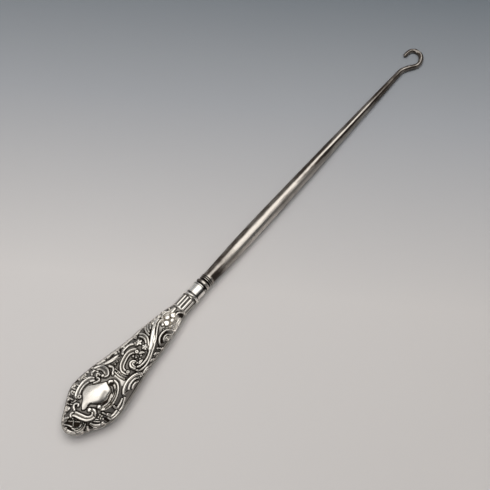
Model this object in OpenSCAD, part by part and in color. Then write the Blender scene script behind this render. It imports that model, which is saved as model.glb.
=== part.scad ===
// Button hook: a forged steel shank and hook whose tang is set in resin inside a handle of
// two stamped silver shells, with a silver ring and a silver collar at the mouth.
// It lies on its back on the surface z = 0, handle towards -X and hook towards +X.
// All sizes are in millimetres. "Station" means the distance from the butt along the axis.

/* [Overall] */
// Length from the butt of the handle to the outside of the hook
overall_length = 203; // [190:1:230]

/* [Handle shells] */
// Length of the plump part of the handle, from the butt to the fluted neck
grip_length = 59.4; // [57:0.2:66]
// Length of the fluted neck
neck_length = 5.1; // [4:0.1:9]
// Number of flutes round the neck
flutes = 12; // [4:4:12]
// Depth of a flute
flute_depth = 0.3; // [0.1:0.05:0.45]
// Station where the rounded butt runs into the belly
butt_at = 4; // [3:0.1:6]
// Width of the handle there
butt_w = 10; // [8:0.1:13]
// Depth of the handle there, front to back
butt_d = 8.2; // [6:0.1:10]
// Station of the widest place, the belly
belly_at = 14.9; // [12:0.1:20]
// Width of the belly
belly_w = 19.6; // [15:0.1:24]
// Depth of the belly, front to back
belly_d = 12.6; // [10:0.1:16]
// Station of the slim upper grip
grip_at = 41; // [36:0.2:48]
// Width of the upper grip
grip_w = 11.8; // [9:0.1:14]
// Depth of the upper grip, front to back
grip_d = 9.8; // [8:0.1:12]
// Thickness of the silver sheet
sheet = 0.35; // [0.25:0.05:0.6]
// Thickness of the solder in the seam between the shells
seam = 0.16; // [0.1:0.02:0.3]

/* [Ring and collar] */
// Width of the ring along the axis
ring_w = 1.4; // [0.8:0.1:2.5]
// How far the ring stands out from the neck
ring_proud = 0.3; // [0.1:0.05:0.8]
// Length of the collar that shows
collar_length = 4.8; // [3:0.1:8]
// How far the collar stands out from its spigot
collar_step = 0.45; // [0.1:0.05:0.8]
// Width of the groove between the ring and the plain band of the collar
waist_w = 0.6; // [0.3:0.05:1]
// Width of the rim at the steel's end of the collar
rim_w = 0.45; // [0.3:0.05:0.8]
// How far that rim stands out from the plain band
rim_proud = 0.1; // [0.05:0.01:0.25]
// Length of the collar's spigot inside the neck
spigot_length = 6; // [4:0.1:10]
// Room for solder between the spigot and what it is soldered into
solder_gap = 0.05; // [0.03:0.01:0.15]

/* [Steel] */
// Length of the tang inside the handle
tang_length = 46; // [30:1:54]
// Diameter of the tang where it leaves the collar
tang_d = 3; // [2.2:0.1:4]
// Diameter of the tang's end
tang_tip_d = 1.4; // [0.8:0.1:2]
// Thickness of the resin round the tang in the spigot
resin_gap = 0.4; // [0.2:0.05:0.8]
// Diameter of the seat that rests on the collar
seat_d = 4.2; // [4:0.1:5.2]
// Width of the seat along the axis
seat_w = 0.65; // [0.5:0.05:2]
// Diameter of the round bead
bead_d = 5.5; // [5:0.1:6.4]
// Width of the bead along the axis
bead_w = 1.4; // [1.2:0.1:2.2]
// Extra width of the groove between the bead and the first fine ring
bead_gap = 0.3; // [0.1:0.05:0.6]
// Diameter of the fine rings after the bead
reed_d = 5.1; // [4.6:0.1:5.6]
// Width of one fine ring along the axis
reed_w = 0.4; // [0.3:0.05:1]
// Number of fine rings
reeds = 3; // [1:1:5]
// Width of the groove beside each bead and ring
groove_w = 0.24; // [0.15:0.01:0.4]
// Depth of that groove below the seat
groove_depth = 0.15; // [0.1:0.05:0.3]
// Diameter of the shank where it leaves the fine rings
shank_d = 4.8; // [4:0.1:5.6]
// Diameter of the shank where it is fullest
swell_d = 5.5; // [4.8:0.1:6.4]
// Distance from the fine rings to the end of the fullest stretch
swell_at = 28; // [16:1:40]
// Diameter of the wire of the hook
wire_d = 1.85; // [1.4:0.05:2.2]
// Radius of the hook's bowl, at the middle of the wire
bowl_r = 3.35; // [2.6:0.05:4.2]
// How far the middle of the bowl lies to the side of the axis
bowl_offset = 0.2; // [0:0.05:0.8]
// Angle by which the wire leaves the axis before the bowl
bend_angle = 31; // [26:1:45]
// Radius of that bend, at the middle of the wire
bend_r = 6; // [2.5:0.1:8]
// Heading of the hook's tip, where 180 points straight back at the handle
tip_heading = 180; // [150:1:185]
// Length of the straight tip
tip_length = 1; // [0.5:0.1:3]

/* [Hidden] */
$fn = 48;

// Diameters from the tang outwards to the ring, each from the one inside it
spigot_bore = tang_d + 2 * resin_gap;
spigot_d = spigot_bore + 2 * sheet;
neck_bore = spigot_d + 2 * solder_gap;
neck_d = neck_bore + 2 * (sheet + flute_depth);
ring_d = neck_d + 2 * ring_proud;
collar_d = spigot_d + 2 * collar_step;
waist_d = spigot_d + collar_step;
rim_d = collar_d + 2 * rim_proud;

// Stations from the butt to the hook
mouth_at = grip_length + neck_length;
collar_at = mouth_at + ring_w;
spigot_at = collar_at - spigot_length;
steel_at = collar_at + collar_length;
tang_at = steel_at - tang_length;
bead_at = steel_at + seat_w;
reeds_at = bead_at + bead_w + bead_gap;
shank_at = reeds_at + reeds * (reed_w + groove_w);
swell_end = shank_at + swell_at;
wire_r = wire_d / 2;
bowl_at = overall_length - bowl_r - wire_r;

// The wire leaves the axis on an arc, runs straight and enters the bowl on a tangent
entry_drop = bowl_offset + bowl_r * cos(bend_angle);
bend_drop = bend_r * (1 - cos(bend_angle));
slope_length = (entry_drop - bend_drop) / sin(bend_angle);
bend_end = bowl_at - bowl_r * sin(bend_angle) - slope_length * cos(bend_angle);
bend_at = bend_end - bend_r * sin(bend_angle);

// Slopes of the outline, as change of half width or half depth along the axis
butt_slope_w = 0.5;
butt_slope_d = 0.28;
grip_slope = -0.07;
neck_slope = -0.25;
base_slope = 0.03;
swell_slope = -0.004;
taper_slope = -0.027;

// Steps of the shells' facets: along the butt, along the body and round one half
butt_steps = 6;
body_steps = 30;
half_steps = 24;
// The first ring of facets, as a share of the first step along the butt
first_step = 0.4;
// The flutes fade in over this length
flute_lead = 0.5;
// Overlap that joins two solids of one piece
overlap = 0.5;
// Parts of the wire end this far short of a joint, which a ball a hair thicker than the wire closes
lap = 0.03;
hair = 0.01;

// A cubic from height a with slope ma to height b with slope mb, over a length
function blend(t, length, a, ma, b, mb) =
    a * (1 - 3 * t * t + 2 * t * t * t) + b * (3 * t * t - 2 * t * t * t)
    + length * (ma * (t - 2 * t * t + t * t * t) + mb * (t * t * t - t * t));
function stretch(s, s0, s1, a, ma, b, mb) = blend((s - s0) / (s1 - s0), s1 - s0, a, ma, b, mb);

// The rounded butt: as steep as a square root at its end, with a given height and slope where it stops
function butt(s, half, slope) =
    2 * (half - slope * butt_at) * sqrt(s / butt_at) + (2 * slope - half / butt_at) * s;

// Half the width or the depth of the handle at a station
function outline(s, at_butt, butt_slope, at_belly, at_grip) =
    s < butt_at ? butt(s, at_butt, butt_slope)
    : s < belly_at ? stretch(s, butt_at, belly_at, at_butt, butt_slope, at_belly, 0)
    : s < grip_at ? stretch(s, belly_at, grip_at, at_belly, 0, at_grip, grip_slope)
    : s < grip_length ? stretch(s, grip_at, grip_length, at_grip, grip_slope, neck_d / 2, neck_slope)
    : neck_d / 2;
function half_w(s) = outline(s, butt_w / 2, butt_slope_w, belly_w / 2, grip_w / 2);
function half_d(s) = outline(s, butt_d / 2, butt_slope_d, belly_d / 2, grip_d / 2);

// Stations of the rings of facets: closer towards the butt, then even, then the two ends of the flutes
stations = concat(
    [for (i = [0:butt_steps - 1]) butt_at * pow((i == 0 ? first_step : i) / butt_steps, 2)],
    [for (i = [0:body_steps]) butt_at + (grip_length - butt_at) * i / body_steps],
    [grip_length + flute_lead, mouth_at]);
last = len(stations) - 1;

// How deep the flutes are at a station and at an angle: nothing on the ridges, most between them
function fluted(s, a) =
    s < grip_length + flute_lead ? 0 : flute_depth * (1 - cos(flutes * (a - 90))) / 2;

// The inside follows the outside one sheet further in, square to the butt, and ends in the round bore of the neck
function butt_rise(s, half, slope) =
    (half - slope * butt_at) / sqrt(s * butt_at) + 2 * slope - half / butt_at;
function turn(s) = s < butt_at ? atan(butt_rise(s, butt_w / 2, butt_slope_w)) : 0;
function inner(s, half) =
    s < butt_at ? half - sheet * cos(turn(s))
    : s < grip_length ? max(half - sheet, neck_bore / 2)
    : neck_bore / 2;
function inner_s(s) = s + sheet * sin(turn(s));
function inner_w(s) = inner(s, half_w(s));
function inner_d(s) = inner(s, half_d(s));

// One half of a ring of facets, from +Y over the top to -Y, set off from the seam
function arch(s, w, d) =
    [for (j = [0:half_steps]) let (a = 180 * j / half_steps) [s, w * cos(a), seam / 2 + (d - seam / 2) * sin(a)]];
function outer_arch(s) =
    [for (j = [0:half_steps]) let (a = 180 * j / half_steps, f = fluted(s, a))
        [s, (half_w(s) - f) * cos(a), seam / 2 + (half_d(s) - f - seam / 2) * sin(a)]];
function inner_arch(s) = arch(inner_s(s), inner_w(s), inner_d(s));

// Two triangles for each square between ring i and ring i + 1 of n points, the first ring starting at point k
function skin(k, i, n) =
    [for (j = [0:n - 2]) let (p = k + i * n + j) each [[p, p + n, p + 1], [p + 1, p + n, p + n + 1]]];
function turned(faces) = [for (f = faces) [for (i = [len(f) - 1:-1:0]) f[i]]];

// One stamped shell: an outer and an inner skin, joined along the seam, at the butt and at the mouth
module half_shell() {
    n = half_steps + 1;
    inside = len(stations) * n;
    points = concat([for (s = stations) each outer_arch(s)], [for (s = stations) each inner_arch(s)]);
    rows = [0:last - 1];
    outer = [for (i = rows) each skin(0, i, n)];
    inner = turned([for (i = rows) each skin(inside, i, n)]);
    left = [for (i = rows) let (p = i * n, q = inside + i * n) each [[p, q, p + n], [p + n, q, q + n]]];
    right = turned([for (i = rows) let (p = i * n + n - 1, q = inside + p) each [[p, q, p + n], [p + n, q, q + n]]]);
    butt_outer = [[for (j = [0:n - 1]) j]];
    butt_inner = turned([[for (j = [0:n - 1]) inside + j]]);
    butt_seam = [[0, n - 1, inside + n - 1], [0, inside + n - 1, inside]];
    m = last * n;
    mouth = [for (j = [0:n - 2]) each [[m + j, inside + m + j, m + j + 1],
        [m + j + 1, inside + m + j, inside + m + j + 1]]];
    polyhedron(points, concat(outer, inner, left, right, butt_outer, butt_inner, butt_seam, mouth));
}

module front_shell() {
    color("silver") lying() half_shell();
}

module back_shell() {
    color("silver") lying() rotate([180, 0, 0]) half_shell();
}

// The solder between the two shells: one flat strip up one side, round the butt and down the other
module seam_solder() {
    outside = concat([for (s = stations) [s, seam_w(s)]], [for (i = [last:-1:0]) [stations[i], -seam_w(stations[i])]]);
    inside = concat([for (s = stations) [inner_s(s), inner_w(s)]],
        [for (i = [last:-1:0]) [inner_s(stations[i]), -inner_w(stations[i])]]);
    color("darkgray") lying() translate([0, 0, -seam / 2]) linear_extrude(seam) difference() {
        polygon(outside);
        polygon(inside);
    }
}
function seam_w(s) = half_w(s) - fluted(s, 0);

// A solid of revolution about the axis, from pairs of station and radius
module turned_along(profile) {
    rotate([0, 90, 0]) rotate_extrude() polygon([for (p = profile) [p[1], p[0]]]);
}

// The round ring that covers the mouth of the shells, with flat faces towards them and towards the collar
module mouth_ring() {
    edge = ring_w / 2;
    color("silver") lying() difference() {
        union() {
            turned_along([[mouth_at, 0], [mouth_at, ring_d / 2 - edge], [collar_at, ring_d / 2 - edge],
                [collar_at, 0]]);
            translate([mouth_at + edge, 0, 0]) rotate([0, 90, 0])
                rotate_extrude() translate([ring_d / 2 - edge, 0]) circle(edge);
        }
        translate([mouth_at - overlap, 0, 0]) rotate([0, 90, 0])
            cylinder(h = ring_w + 2 * overlap, d = neck_bore);
    }
}

// The collar: a stepped tube with a grooved foot, a plain band and a rim, and a spigot soldered into the neck
module collar() {
    color("gainsboro") lying() turned_along([[spigot_at, spigot_bore / 2], [spigot_at, spigot_d / 2],
        [collar_at, spigot_d / 2], [collar_at, waist_d / 2], [collar_at + waist_w, waist_d / 2],
        [collar_at + waist_w, collar_d / 2], [steel_at - rim_w, collar_d / 2], [steel_at - rim_w, rim_d / 2],
        [steel_at, rim_d / 2], [steel_at, spigot_bore / 2]]);
}

// The tang, a round taper that runs on into the seat; the resin sets hard against it
module tang() {
    translate([tang_at, 0, 0]) rotate([0, 90, 0]) cylinder(h = tang_length + overlap, d1 = tang_tip_d, d2 = tang_d);
}

// The resin that fills the shells and holds the tang
module resin_core() {
    color("saddlebrown") lying() difference() {
        union() {
            resin_body();
            translate([spigot_at - overlap, 0, 0]) rotate([0, 90, 0])
                cylinder(h = steel_at - spigot_at + overlap, d = spigot_bore);
        }
        tang();
    }
}

// The resin's shape inside the shells, up to the spigot
module resin_body() {
    kept = [for (s = stations) if (s < spigot_at) s];
    rings = concat([for (s = kept) each core_ring(inner_s(s), inner_w(s), inner_d(s))],
        core_ring(spigot_at, inner_w(spigot_at), inner_d(spigot_at)));
    n = 2 * (half_steps + 1);
    sides = [for (i = [0:len(kept) - 1], j = [0:n - 1]) let (p = i * n + j, q = i * n + (j + 1) % n)
        each [[p, p + n, q], [q, p + n, q + n]]];
    polyhedron(rings, concat(sides, [[for (j = [0:n - 1]) j]],
        [[for (j = [n - 1:-1:0]) len(kept) * n + j]]));
}
function core_ring(s, w, d) = concat(arch(s, w, d), [for (p = arch(s, w, d)) [p[0], -p[1], -p[2]]]);

// Half the thickness of the shank at a station
function shank_r(s) =
    s < swell_end ? stretch(s, shank_at, swell_end, shank_d / 2, base_slope, swell_d / 2, swell_slope)
    : stretch(s, swell_end, bend_at, swell_d / 2, swell_slope, wire_r, taper_slope);

// A part of the hook's wire bent about a centre, from one polar angle to another
module bent_wire(centre, r, from, to) {
    translate(centre) rotate(from) rotate_extrude(angle = to - from) translate([r, 0]) circle(wire_r);
}

// A straight part of the hook's wire between two joints
module straight_wire(start, heading, length) {
    translate(start) rotate(heading) translate([lap, 0, 0]) rotate([0, 90, 0])
        cylinder(h = length - 2 * lap, r = wire_r);
}

// A joint between two parts of the wire: a ball whose poles lie along the wire
module joint(place, heading) {
    translate(place) rotate([0, 90, heading]) sphere(wire_r + hair);
}

// The forged steel from the tang to the end of the taper, where the wire of the hook goes on from it
module steel_shank() {
    color("dimgray") lying() {
        tang();
        bolster();
        shank();
    }
}

// The drawn-out end of the same steel, bent into the hook
module steel_hook() {
    bend = [bend_at, -bend_r, 0];
    bowl = [bowl_at, -bowl_offset, 0];
    leave = bend + bend_r * [sin(bend_angle), cos(bend_angle), 0];
    enter = bowl - bowl_r * [sin(bend_angle), cos(bend_angle), 0];
    tip = bowl + bowl_r * [sin(tip_heading), -cos(tip_heading), 0];
    color("dimgray") lying() {
        bent_wire(bend, bend_r, 90 - bend_angle, 90);
        joint(leave, -bend_angle);
        straight_wire(leave, -bend_angle, slope_length);
        joint(enter, -bend_angle);
        bent_wire(bowl, bowl_r, -90 - bend_angle, tip_heading - 90);
        joint(tip, tip_heading);
        straight_wire(tip, tip_heading, tip_length);
        joint(tip + tip_length * [cos(tip_heading), sin(tip_heading), 0], tip_heading);
    }
}

// The seat, bead and fine rings, on a core as thick as the bottom of their grooves that runs on into the shank
module bolster() {
    groove_d = seat_d - 2 * groove_depth;
    turned_along([[steel_at, 0], [steel_at, seat_d / 2], [bead_at - groove_w, seat_d / 2],
        [bead_at - groove_w, groove_d / 2], [shank_at + overlap, groove_d / 2], [shank_at + overlap, 0]]);
    translate([bead_at + bead_w / 2, 0, 0]) rotate([0, 90, 0])
        rotate_extrude() translate([bead_d / 2 - bead_w / 2, 0]) circle(bead_w / 2);
    for (i = [0:reeds - 1])
        translate([reeds_at + groove_w + i * (reed_w + groove_w), 0, 0]) rotate([0, 90, 0])
            cylinder(h = reed_w, d = reed_d);
}

module shank() {
    steps = 24;
    turned_along(concat([[shank_at, 0]],
        [for (i = [0:steps]) let (s = shank_at + (bend_at - shank_at) * i / steps) [s, shank_r(s)]],
        [[bend_at, 0]]));
}

// The angle at which the handle's belly and the hook's bowl both touch the surface
nose = bowl_at + bowl_r;
lie_angle = max([for (s = stations) let (d = half_d(s), run = nose - s)
    atan2(d, run) - asin(wire_r / norm([d, run]))]);

// Lays the straight tool on the surface, with the middle of its length over the origin
module lying() {
    middle = (wire_r - nose * cos(lie_angle)) / 2;
    translate([-middle, 0, wire_r]) rotate([0, lie_angle, 0]) translate([-nose, 0, 0]) children();
}

steel_shank();
steel_hook();
front_shell();
back_shell();
seam_solder();
mouth_ring();
collar();
resin_core();
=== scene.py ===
import math

import bpy
import numpy as np
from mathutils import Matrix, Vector


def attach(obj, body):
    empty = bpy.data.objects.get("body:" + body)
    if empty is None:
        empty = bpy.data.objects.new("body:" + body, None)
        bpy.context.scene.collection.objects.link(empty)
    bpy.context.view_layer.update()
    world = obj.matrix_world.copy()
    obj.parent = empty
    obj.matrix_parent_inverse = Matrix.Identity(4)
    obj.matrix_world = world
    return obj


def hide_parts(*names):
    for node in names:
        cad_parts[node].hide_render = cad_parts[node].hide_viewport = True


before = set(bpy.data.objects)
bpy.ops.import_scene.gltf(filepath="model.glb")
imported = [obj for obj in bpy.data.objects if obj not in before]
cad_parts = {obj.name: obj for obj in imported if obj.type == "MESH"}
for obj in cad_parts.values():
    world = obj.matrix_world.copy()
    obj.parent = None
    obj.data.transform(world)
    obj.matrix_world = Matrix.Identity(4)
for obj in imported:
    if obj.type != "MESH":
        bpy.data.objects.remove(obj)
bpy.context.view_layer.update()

# The button hook, in millimetres along the straight tool until each piece is laid down in metres.
# s is the distance from the butt. m is the distance round the handle from its top line, below 0 on the far side.
MM = 0.001
# stations, widths and depths of the handle, and its slopes there
BUTT_AT, BUTT_W, BUTT_D = 4.0, 10.0, 8.2
BELLY_AT, BELLY_W, BELLY_D = 14.9, 19.6, 12.6
GRIP_AT, GRIP_W, GRIP_D = 41.0, 11.8, 9.8
GRIP_LENGTH, NECK_D, MOUTH_AT = 59.4, 5.9, 64.5
BUTT_SLOPE_W, BUTT_SLOPE_D, GRIP_SLOPE, NECK_SLOPE = 0.5, 0.28, -0.07, -0.25
SEAM = 0.16     # the strip of solder between the two halves
FLUTES, FLUTE_DEPTH = 12, 0.3


def smooth(a, b, x):
    """From 0 at a to 1 at b, with soft ends."""
    t = np.clip((x - a) / (b - a), 0, 1)
    return t * t * (3 - 2 * t)


def stretch(a, b, c, d, x):
    """1 from b to c, and falling to 0 at a and at d."""
    return smooth(a, b, x) * smooth(d, c, x)


def blend(t, length, a, slope_a, b, slope_b):
    """A fair curve from a to b over a length, with a slope at each end."""
    return (a * (1 - 3 * t**2 + 2 * t**3) + b * (3 * t**2 - 2 * t**3)
            + length * (slope_a * (t - 2 * t**2 + t**3) + slope_b * (t**3 - t**2)))


def outline(s, butt, slope, belly, grip):
    """Half the handle's width or depth at s."""
    s = np.maximum(np.asarray(s, float), 0)

    def run(s0, s1, *ends):
        return blend((s - s0) / (s1 - s0), s1 - s0, *ends)
    round_butt = 2 * (butt - slope * BUTT_AT) * np.sqrt(s / BUTT_AT) + (2 * slope - butt / BUTT_AT) * s
    return np.select(
        [s < BUTT_AT, s < BELLY_AT, s < GRIP_AT, s < GRIP_LENGTH],
        [round_butt, run(BUTT_AT, BELLY_AT, butt, slope, belly, 0), run(BELLY_AT, GRIP_AT, belly, 0, grip, GRIP_SLOPE),
         run(GRIP_AT, GRIP_LENGTH, grip, GRIP_SLOPE, NECK_D / 2, NECK_SLOPE)], NECK_D / 2)


def half_w(s):
    return outline(s, BUTT_W / 2, BUTT_SLOPE_W, BELLY_W / 2, GRIP_W / 2)


def half_d(s):
    return outline(s, BUTT_D / 2, BUTT_SLOPE_D, BELLY_D / 2, GRIP_D / 2)


SECTION_TURNS = np.linspace(0, math.pi / 2, 120)


def section_run(s):
    """The distance round the section at s, from the top line to each turn as far as the seam."""
    pace = np.hypot(half_w(s) * np.cos(SECTION_TURNS), half_d(s) * np.sin(SECTION_TURNS))
    return np.concatenate([[0], np.cumsum((pace[1:] + pace[:-1]) / 2 * np.diff(SECTION_TURNS))])


def curve(points, steps=8, straight_steps=12):
    """A smooth line through points, or a straight one between two."""
    p = np.asarray(points, float)
    if len(p) == 2:
        t = np.linspace(0, 1, straight_steps)[:, None]
        return p[0] * (1 - t) + p[1] * t
    q = np.vstack([2 * p[0] - p[1], p, 2 * p[-1] - p[-2]])
    t = np.linspace(0, 1, steps, endpoint=False)[:, None]
    spans = [0.5 * (2 * b + (c - a) * t + (2 * a - 5 * b + 4 * c - d) * t**2 + (3 * b - a - 3 * c + d) * t**3)
             for a, b, c, d in zip(q, q[1:], q[2:], q[3:])]
    return np.vstack(spans + [p[-1:]])


# ---------------------------------------------------------------- stamped forms
GROUND, GROOVE = -0.6, -0.9     # levels of the ground and of the grooves in it, below the envelope
FOOT, SPARE = 0.16, 0.2         # the slope at the foot of a form, and how far past a form its slope is worked out
STRAP_MOAT = (0.8, 0.25)        # where the groove round a strap starts, and where it is full
BORDER_FROM_SEAM = 0.95         # where the border wire runs
DOME_ROUNDS, DOME_POWER = 1500, 0.8


class Relief:
    """The stamped surface: its level below the envelope, how clean it is rubbed, and where dark reflections are
    painted on it.
    """

    def __init__(self, s, m):
        self.s, self.m = s, m
        self.h = np.full(s.shape, GROUND)
        self.clean = np.zeros(s.shape)
        self.dull_and_dark_reflection = np.zeros(s.shape)

    def near(self, line, reach):
        """The places within reach of a line, how far each lies from it, and at which share of its length."""
        lo, hi = line.min(0) - reach, line.max(0) + reach
        at = np.nonzero((self.s > lo[0]) & (self.s < hi[0]) & (self.m > lo[1]) & (self.m < hi[1]))
        x, y = self.s[at], self.m[at]
        best = np.full(x.shape, 1e9)
        along = np.zeros(x.shape)
        length = np.linalg.norm(np.diff(line, axis=0), axis=1)
        run = np.concatenate([[0], np.cumsum(length)])
        for i in range(len(line) - 1):
            dx, dy = line[i + 1] - line[i]
            t = np.clip(((x - line[i, 0]) * dx + (y - line[i, 1]) * dy) / max(length[i]**2, 1e-12), 0, 1)
            d = np.hypot(x - line[i, 0] - t * dx, y - line[i, 1] - t * dy)
            k = d < best
            best[k] = d[k]
            along[k] = run[i] + t[k] * length[i]
        return at, best, along / max(run[-1], 1e-9)

    def near_spot(self, centre, reach):
        return self.near(np.array([centre, (centre[0] + 1e-3, centre[1])]), reach)

    def inside(self, polygon):
        x, y = self.s, self.m
        hit = np.zeros(x.shape, bool)
        p = np.asarray(polygon)
        for (x0, y0), (x1, y1) in zip(p, np.roll(p, -1, 0)):
            if y0 != y1:
                hit ^= ((y0 > y) != (y1 > y)) & (x < (x1 - x0) * (y - y0) / (y1 - y0) + x0)
        return hit

    def lay(self, at, d, half, top, moat=0.5, foot=FOOT):
        """Lays a form of half width `half` on what is there, with a groove cut round it."""
        h = self.h[at]
        if moat > foot:
            cut = smooth(half + moat, half + foot, d)
            h = h * (1 - cut) + np.minimum(h, GROOVE) * cut
            self.clean[at] *= 1 - cut
        k = smooth(half + foot, half - 0.02, d)
        self.h[at] = h * (1 - k) + top * k

    def inlay(self, loop, level, bright, moat_start, moat_full):
        """Fills a closed loop to a level, with a groove cut round it."""
        hit = self.inside(loop)
        at, d, _ = self.near(loop, moat_start)
        cut = np.zeros(self.s.shape)
        cut[at] = smooth(moat_start, moat_full, d)
        self.h = np.where(hit, level, self.h * (1 - cut) + np.minimum(self.h, GROOVE) * cut)
        self.clean = np.where(hit, bright, self.clean * (1 - cut))

    def ridge(self, points, half=0.32, top=-0.05, taper=(1, 1), moat=0.35, crown=0.3):
        """A rounded wire along a line."""
        at, d, t = self.near(curve(points), half + moat + SPARE)
        w = half * (taper[0] * (1 - t) + taper[1] * t)
        x = np.clip(d / np.maximum(w, 0.02), 0, 1)
        self.lay(at, d, w, top - crown * (1 - np.sqrt(1 - 0.98 * x * x)), moat, min(FOOT, 0.5 * half))

    def leaf(self, points, half=0.7, top=-0.05, moat=0.35, vein=0.28, peak=0.45, sag=0.3, vein_w=0.12):
        """A pointed leaf, widest at its peak, with a vein down its middle."""
        at, d, t = self.near(curve(points), half + moat + SPARE)
        spread = np.where(t < peak, np.sin(0.5 * math.pi * t / peak), np.cos(0.5 * math.pi * (t - peak) / (1 - peak)))
        w = np.maximum(half * spread**0.7, 0.06)
        form = top - 0.02 - sag * np.clip(d / w, 0, 1)**2
        form = form - vein * np.exp(-(d / vein_w)**2) * smooth(0.02, 0.2, t) * smooth(1.0, 0.8, t)
        self.lay(at, d, w, form, moat)

    def bead(self, centre, radius=0.5, top=0.0, moat=0.35, rise=0.45):
        at, d, _ = self.near_spot(centre, radius + moat + SPARE)
        self.lay(at, d, radius, top - rise * (1 - np.sqrt(np.clip(1 - 0.97 * (d / radius)**2, 0, 1))), moat)

    def ring(self, centre, radius=0.6, half=0.22, top=-0.05, moat=0.3):
        a = np.linspace(0, 2 * math.pi, 25)
        self.ridge(np.stack([centre[0] + radius * np.cos(a), centre[1] + radius * np.sin(a)], 1), half, top, moat=moat)

    def floret(self, centre, radius=0.9, petals=4, turn=45, top=0.0):
        """A flower with rounded petals and a ring round its eye."""
        at, d, _ = self.near_spot(centre, radius + 0.6)
        a = np.arctan2(self.m[at] - centre[1], self.s[at] - centre[0])
        lobe = np.abs(np.cos(petals / 2 * (a - math.radians(turn))))
        edge = radius * (0.45 + 0.55 * lobe**0.7)
        eye = 0.16 * np.exp(-((d - 0.3 * radius) / 0.1)**2)
        form = top - 0.22 * (d / edge)**2 - 0.16 * (1 - lobe) * smooth(0.1, 0.5, d / radius) - eye
        self.lay(at, d, edge, form, moat=0.3, foot=0.12)

    def field(self, polygon, level=-0.4, bright=0.5, fall=0.3):
        """A plain raised ground inside an outline, rubbed bright to some degree."""
        share = self.inside(polygon).astype(float)
        at, d, _ = self.near(np.vstack([polygon, polygon[:1]]), fall)
        share[at] *= smooth(0, fall, d)
        self.h = self.h * (1 - share) + level * share
        self.clean = self.clean * (1 - share) + bright * share

    def gap(self, points, half=0.3):
        """A dark hollow between forms."""
        at, d, _ = self.near(curve(points), half + 0.3)
        soft = min(0.2, half)
        k = smooth(half + soft, half - 0.5 * soft, d)
        self.h[at] = self.h[at] * (1 - k) + GROOVE * k
        self.clean[at] *= 1 - k

    def painted_dark_reflection(self, points, half, depth):
        """A soft patch of painted dark reflection on a plain surface."""
        at, d, _ = self.near(curve(points), 2.5 * half)
        self.dull_and_dark_reflection[at] = np.maximum(self.dull_and_dark_reflection[at], depth * np.exp(-(d / half)**2))

    def strap(self, outer, inner, w_outer=0.3, w_inner=0.23, hollow=-0.5, tops=(-0.02, -0.08), bright=0.12):
        """A broad scroll: a dished strip between two ridges."""
        edge = np.vstack([curve(outer), curve(inner)[::-1]])
        self.inlay(np.vstack([edge, edge[:1]]), hollow, bright, *STRAP_MOAT)
        self.ridge(inner, w_inner, tops[1], moat=0.0, crown=0.22)
        self.ridge(outer, w_outer, tops[0], moat=0.0, crown=0.3)

    def boss(self, polygon, top=0.0, edge=-0.46, lean=0.09, moat=0.65):
        """A smooth dome inside an outline, its foot lower on the near side."""
        loop = curve(np.vstack([polygon, polygon[:1]]), 5)
        foot = edge - lean * (self.m - loop[:, 1].mean())
        self.inlay(loop, foot + (top - foot) * self.blown(loop), 1, moat, 0.1)

    def blown(self, loop, step=0.1, spare=0.3):
        """How high sheet metal held at a loop is blown up inside it, as a share of its highest point."""
        low, high = loop.min(0) - spare, loop.max(0) + spare
        full = Relief(*np.meshgrid(*(np.arange(a, b, step) for a, b in zip(low, high)))).inside(loop)
        dome = np.zeros(full.shape)
        for _ in range(DOME_ROUNDS):
            beside = (np.roll(dome, 1, 0) + np.roll(dome, -1, 0) + np.roll(dome, 1, 1) + np.roll(dome, -1, 1)) / 4
            dome = np.where(full, beside + step * step / 4, 0)
        dome = (dome / dome.max())**DOME_POWER
        x = np.clip((self.s - low[0]) / step, 0, full.shape[1] - 1.001)
        y = np.clip((self.m - low[1]) / step, 0, full.shape[0] - 1.001)
        i, j = x.astype(int), y.astype(int)
        fx, fy = x - i, y - j
        return ((dome[j, i] * (1 - fx) + dome[j, i + 1] * fx) * (1 - fy)
                + (dome[j + 1, i] * (1 - fx) + dome[j + 1, i + 1] * fx) * fy)


def far_shoulder(r):
    """Leaves of the shoulder beyond the butt, on the far side."""
    r.ridge([[2, -7.4], [1.5, -5.6], [1.2, -3.6]], half=0.3, top=-0.3)
    r.field([[4.7, -10.5], [3.8, -8], [3.6, -5.2], [4.2, -4.4], [5.2, -5], [5.2, -7.5], [6, -11.5]],
            level=-0.34, bright=0.5)
    r.leaf([[4, -9.9], [3.2, -7.4], [3.05, -5.4], [2.85, -4.2]], half=0.46, top=0, vein=0, peak=0.6)
    r.ridge([[2.45, -3.6], [3.05, -2.85], [3.9, -2.05]], half=0.5, top=0.02, taper=(1.1, 0.6), crown=0.2)
    r.leaf([[7.2, -12], [6.2, -9.2], [5.85, -7.2], [6, -5.6], [6.5, -3.9]],
           half=0.92, top=0.02, vein=0, peak=0.74)
    r.field([[7.9, -12.2], [6.75, -9.4], [6.35, -6.6], [6.8, -6.3], [7.05, -8], [7.5, -10.5], [8.2, -12.2]],
            level=-0.3, bright=0.65)
    r.ridge([[5.6, -5.7], [5.9, -5.1], [6.15, -4.6]], half=0.8, top=0.06, moat=0.2, crown=0.55)
    r.gap([[7.55, -11.5], [7.15, -8.6], [7.2, -6.6]], half=0.12)
    r.ridge([[8.3, -11.6], [7.65, -8.8], [7.6, -6.4], [7.9, -4.4]], half=0.24, top=-0.15, moat=0.2)
    r.ridge([[9, -10.6], [8.5, -9], [8.6, -7.6], [9.2, -6.6]], half=0.24, top=-0.05, moat=0.25)
    r.ridge([[10.2, -12.2], [9.35, -9.6], [9.3, -7.2], [9.4, -5.4]], half=0.24, top=0, moat=0.25)
    r.bead([8.75, -7.6], radius=0.5, top=0.04, moat=0.15)
    r.gap([[8.15, -6.5], [8.15, -5.4]], half=0.34)
    r.gap([[8.75, -9.9], [8.7, -8.4]], half=0.16)
    r.ridge([[8.5, -4.9], [9, -4.2], [9.8, -4]], half=0.2, top=-0.2)


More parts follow.
